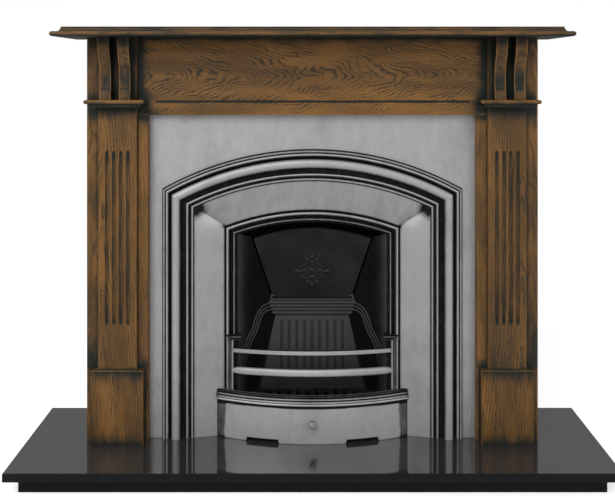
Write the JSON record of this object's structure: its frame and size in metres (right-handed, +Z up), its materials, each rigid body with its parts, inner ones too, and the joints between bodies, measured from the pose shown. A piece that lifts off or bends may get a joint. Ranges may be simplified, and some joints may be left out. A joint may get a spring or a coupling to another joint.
{
  "type": "fireplace",
  "caption": "Arched cast iron fireplace insert with fire bars, ash pan cover and damper flap, in a fluted oak surround on a polished granite hearth.",
  "frame": {"origin": "middle of the hearth's underside", "axes": "+Z up, +X along the hearth to the right as seen from the front, the front faces -Y"},
  "size_m": [1.58, 0.381, 1.204],
  "materials": {
    "granite": "polished",
    "oak": "stained and waxed",
    "steel": "zinc plated",
    "polished_iron": "highlight polished with dark recesses",
    "black_iron": "matt black",
    "black_sheet": "matt black"
  },
  "bodies": {
    "fireplace": {"hearth_slab": "granite", "hearth_front_riser": "granite", "hearth_side_risers": "granite", "hearth_back_riser": "granite", "mantel_shelf": "oak", "header_board": "oak", "header_batten": "oak", "leg_board_left": "oak", "leg_board_right": "oak", "leg_side_left": "oak", "leg_side_right": "oak", "leg_batten_left": "oak", "leg_batten_right": "oak", "pilaster_left": "oak", "pilaster_right": "oak", "plinth_block_left": "oak", "plinth_block_right": "oak", "necking_left": "oak", "necking_right": "oak", "corbel_outer_left": "oak", "corbel_inner_left": "oak", "corbel_inner_right": "oak", "corbel_outer_right": "oak", "shelf_screws": "steel", "wall_plates": "steel", "wall_plate_screws": "steel", "bracket_bolts": "steel", "fireback_bolts": "steel", "hood_bolts": "steel", "front_casting": "polished_iron", "bar_bracket_left": "polished_iron", "bar_bracket_right": "polished_iron", "fireback": "black_iron", "smoke_hood": "black_iron", "flue_spigot": "black_iron"},
    "damper": {"damper_flap": "black_iron", "flap_pins": "steel"},
    "top_bar": {"top_bar": "polished_iron"},
    "lower_bar": {"lower_bar": "polished_iron"},
    "grate": {"bottom_grate": "black_iron"},
    "ash_pan": {"ash_pan": "black_sheet"},
    "cover": {"ashpan_cover": "polished_iron", "cover_knob": "polished_iron", "knob_screw": "steel"}
  },
  "joints": [
    {"name": "damper_tilt", "type": "hinge", "parent": "fireplace", "child": "damper", "pos_m": [0, 0.11904, 0.426], "axis": [1, 0, 0], "range_deg": [-12, 5]},
    {"name": "top_bar_lift", "type": "slide", "parent": "fireplace", "child": "top_bar", "axis": [0, 0, 1], "range_m": [0, 0.02]},
    {"name": "lower_bar_lift", "type": "slide", "parent": "fireplace", "child": "lower_bar", "axis": [0, 0, 1], "range_m": [0, 0.02]},
    {"name": "grate_lift", "type": "slide", "parent": "fireplace", "child": "grate", "axis": [0, 0, 1], "range_m": [0, 0.03]},
    {"name": "ash_pan_slide", "type": "slide", "parent": "fireplace", "child": "ash_pan", "axis": [0, -1, 0], "range_m": [0, 0.03]},
    {"name": "cover_slide", "type": "slide", "parent": "fireplace", "child": "cover", "axis": [0, -1, 0], "range_m": [0, 0.15]}
  ]
}
